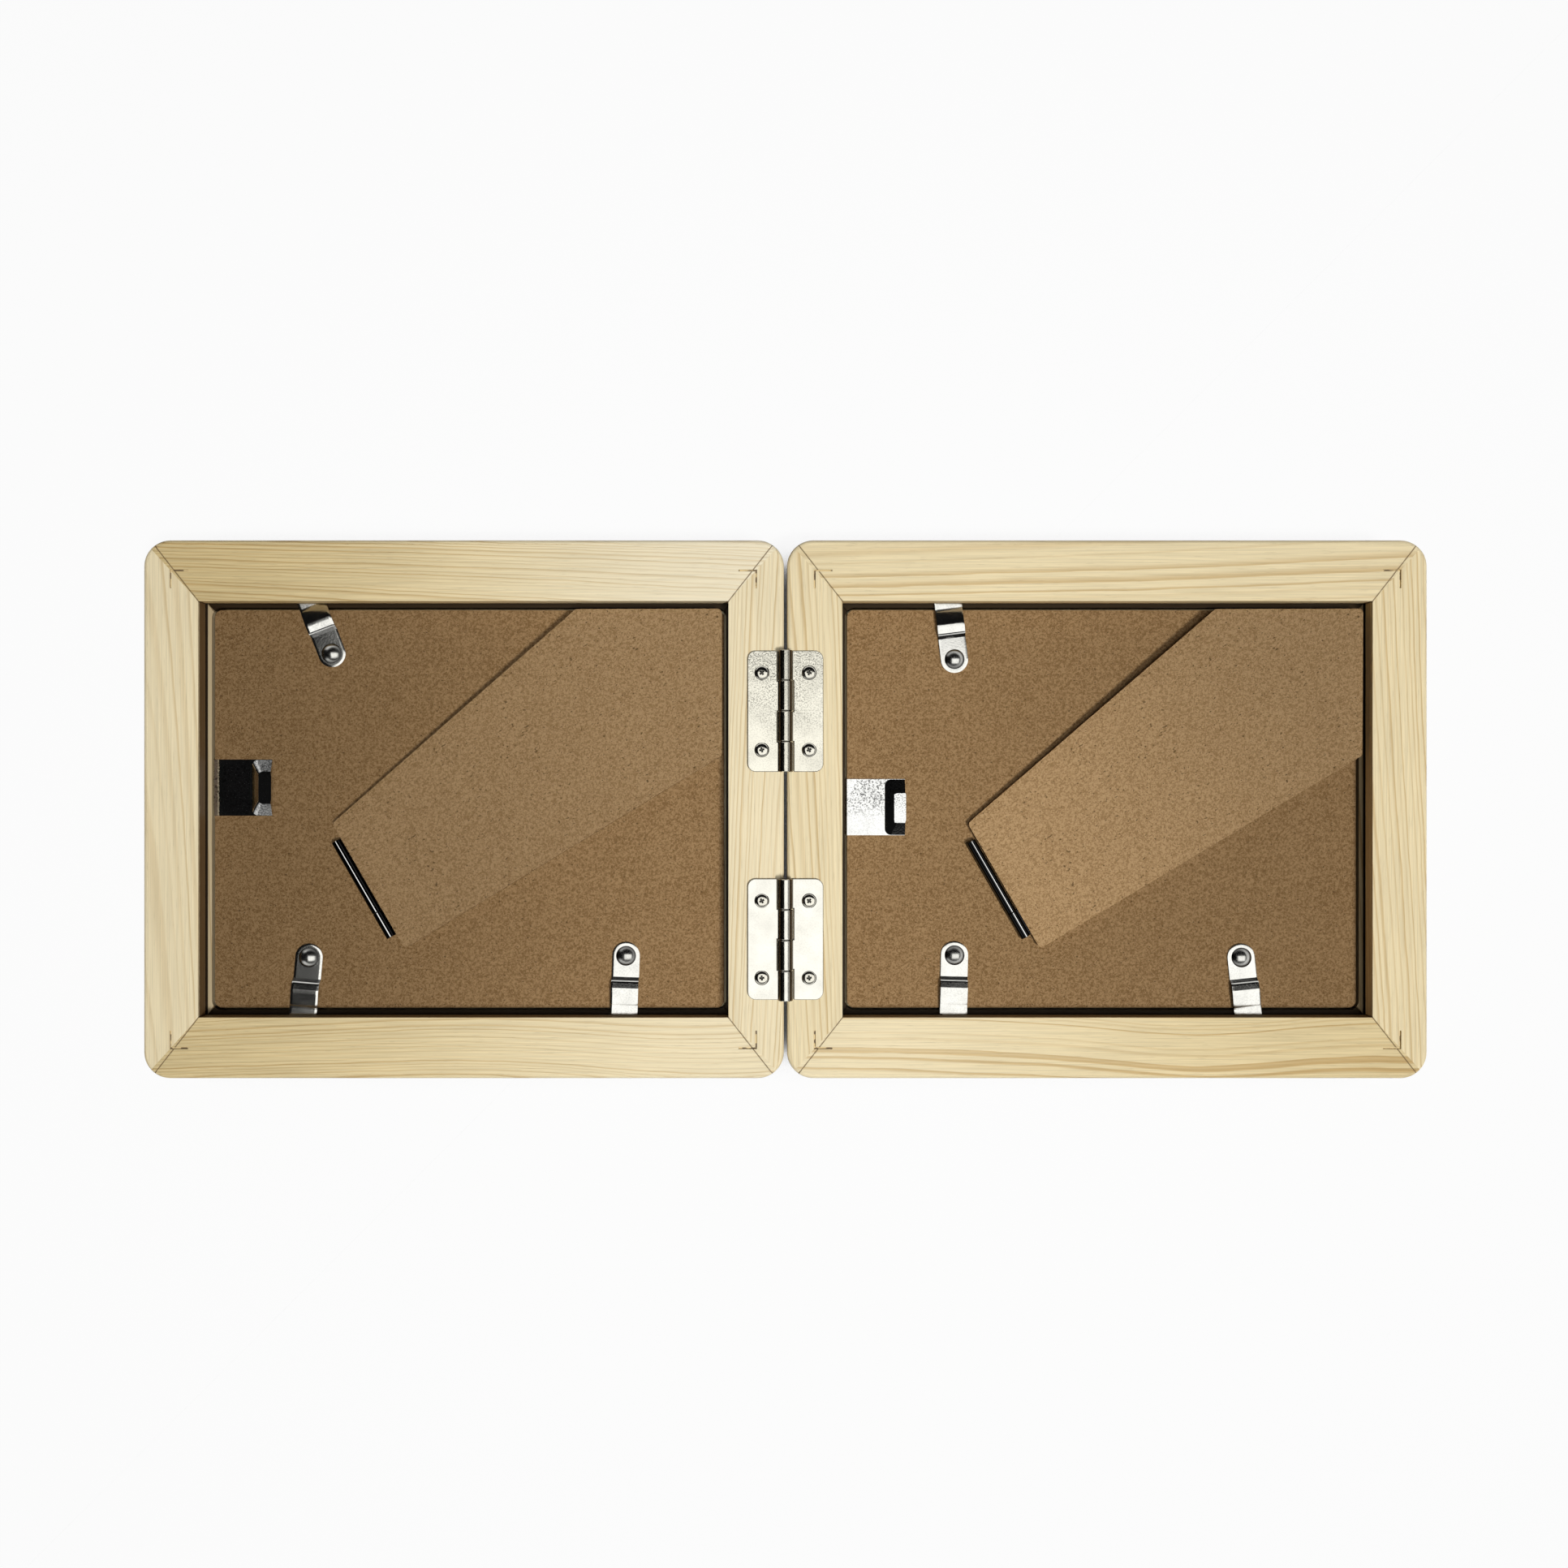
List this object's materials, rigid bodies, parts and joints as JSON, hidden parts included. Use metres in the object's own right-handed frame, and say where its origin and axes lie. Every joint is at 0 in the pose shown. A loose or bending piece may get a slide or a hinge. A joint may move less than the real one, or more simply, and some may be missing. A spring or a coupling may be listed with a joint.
{
  "type": "hinged double photo frame",
  "caption": "Pair of mitred pine photo frames joined by butt hinges, with glass, hardboard backs, turn clips, nail hangers and swing-out easel struts.",
  "frame": {"origin": "middle of the pair's footprint, on the surface that the front faces lie on", "axes": "+X along the pair from the left frame to the right one, +Y to the edge that the struts stand on, +Z out of the backs"},
  "size_m": [0.4412, 0.185, 0.0251],
  "materials": {
    "pine": "bare sanded pine",
    "hardboard": "pressed fibre board",
    "plated_steel": "bright plated",
    "dark_steel": "polished dark",
    "nail_steel": "dull",
    "clear_glass": "clear float glass",
    "paper": "blank satin paper"
  },
  "bodies": {
    "left_frame": {"left_top_rail": "pine", "left_bottom_rail": "pine", "left_outer_rail": "pine", "left_inner_rail": "pine", "left_v_nails": "nail_steel", "left_glass": "clear_glass", "left_print_sheet": "paper", "left_backboard": "hardboard", "left_hanger": "plated_steel", "left_clip_rivets": "plated_steel", "left_strut_hinge_board_leaf": "dark_steel", "left_strut_hinge_pin": "dark_steel", "left_hinge_screws": "plated_steel", "upper_hinge_left_leaf": "plated_steel", "lower_hinge_left_leaf": "plated_steel", "upper_hinge_pin": "plated_steel", "lower_hinge_pin": "plated_steel"},
    "right_frame": {"right_top_rail": "pine", "right_bottom_rail": "pine", "right_outer_rail": "pine", "right_inner_rail": "pine", "right_v_nails": "nail_steel", "right_glass": "clear_glass", "right_print_sheet": "paper", "right_backboard": "hardboard", "right_hanger": "plated_steel", "right_clip_rivets": "plated_steel", "right_strut_hinge_board_leaf": "dark_steel", "right_strut_hinge_pin": "dark_steel", "right_hinge_screws": "plated_steel", "upper_hinge_right_leaf": "plated_steel", "lower_hinge_right_leaf": "plated_steel"},
    "left_easel": {"left_strut": "hardboard", "left_strut_hinge_strut_leaf": "dark_steel"},
    "left_top_clip_body": {"left_top_clip": "plated_steel"},
    "left_bottom_outer_clip_body": {"left_bottom_outer_clip": "plated_steel"},
    "left_bottom_inner_clip_body": {"left_bottom_inner_clip": "plated_steel"},
    "right_easel": {"right_strut": "hardboard", "right_strut_hinge_strut_leaf": "dark_steel"},
    "right_top_clip_body": {"right_top_clip": "plated_steel"},
    "right_bottom_inner_clip_body": {"right_bottom_inner_clip": "plated_steel"},
    "right_bottom_outer_clip_body": {"right_bottom_outer_clip": "plated_steel"}
  },
  "joints": [
    {"name": "frame_fold", "type": "hinge", "parent": "left_frame", "child": "right_frame", "pos_m": [0, 0, 0.02255], "axis": [0, -1, 0], "range_deg": [0, 180]},
    {"name": "left_easel_swing", "type": "hinge", "parent": "left_frame", "child": "left_easel", "pos_m": [-0.14696, -0.0279, 0.01215], "axis": [-0.5, 0.866, 0], "range_deg": [-38.3, 1.7]},
    {"name": "left_top_clip_turn", "type": "hinge", "parent": "left_frame", "child": "left_top_clip_body", "pos_m": [-0.15845, 0.0543, 0.0108], "axis": [0, 0, 1], "continuous": true},
    {"name": "left_bottom_outer_clip_turn", "type": "hinge", "parent": "left_frame", "child": "left_bottom_outer_clip_body", "pos_m": [-0.16645, -0.0519, 0.0108], "axis": [0, 0, 1], "continuous": true},
    {"name": "left_bottom_inner_clip_turn", "type": "hinge", "parent": "left_frame", "child": "left_bottom_inner_clip_body", "pos_m": [-0.05565, -0.0513, 0.0108], "axis": [0, 0, 1], "continuous": true},
    {"name": "right_easel_swing", "type": "hinge", "parent": "right_frame", "child": "right_easel", "pos_m": [0.07414, -0.0279, 0.01215], "axis": [-0.5, 0.866, 0], "range_deg": [-38.3, 1.7]},
    {"name": "right_top_clip_turn", "type": "hinge", "parent": "right_frame", "child": "right_top_clip_body", "pos_m": [0.05905, 0.0523, 0.0108], "axis": [0, 0, 1], "continuous": true},
    {"name": "right_bottom_inner_clip_turn", "type": "hinge", "parent": "right_frame", "child": "right_bottom_inner_clip_body", "pos_m": [0.05905, -0.0511, 0.0108], "axis": [0, 0, 1], "continuous": true},
    {"name": "right_bottom_outer_clip_turn", "type": "hinge", "parent": "right_frame", "child": "right_bottom_outer_clip_body", "pos_m": [0.15925, -0.0519, 0.0108], "axis": [0, 0, 1], "continuous": true}
  ]
}
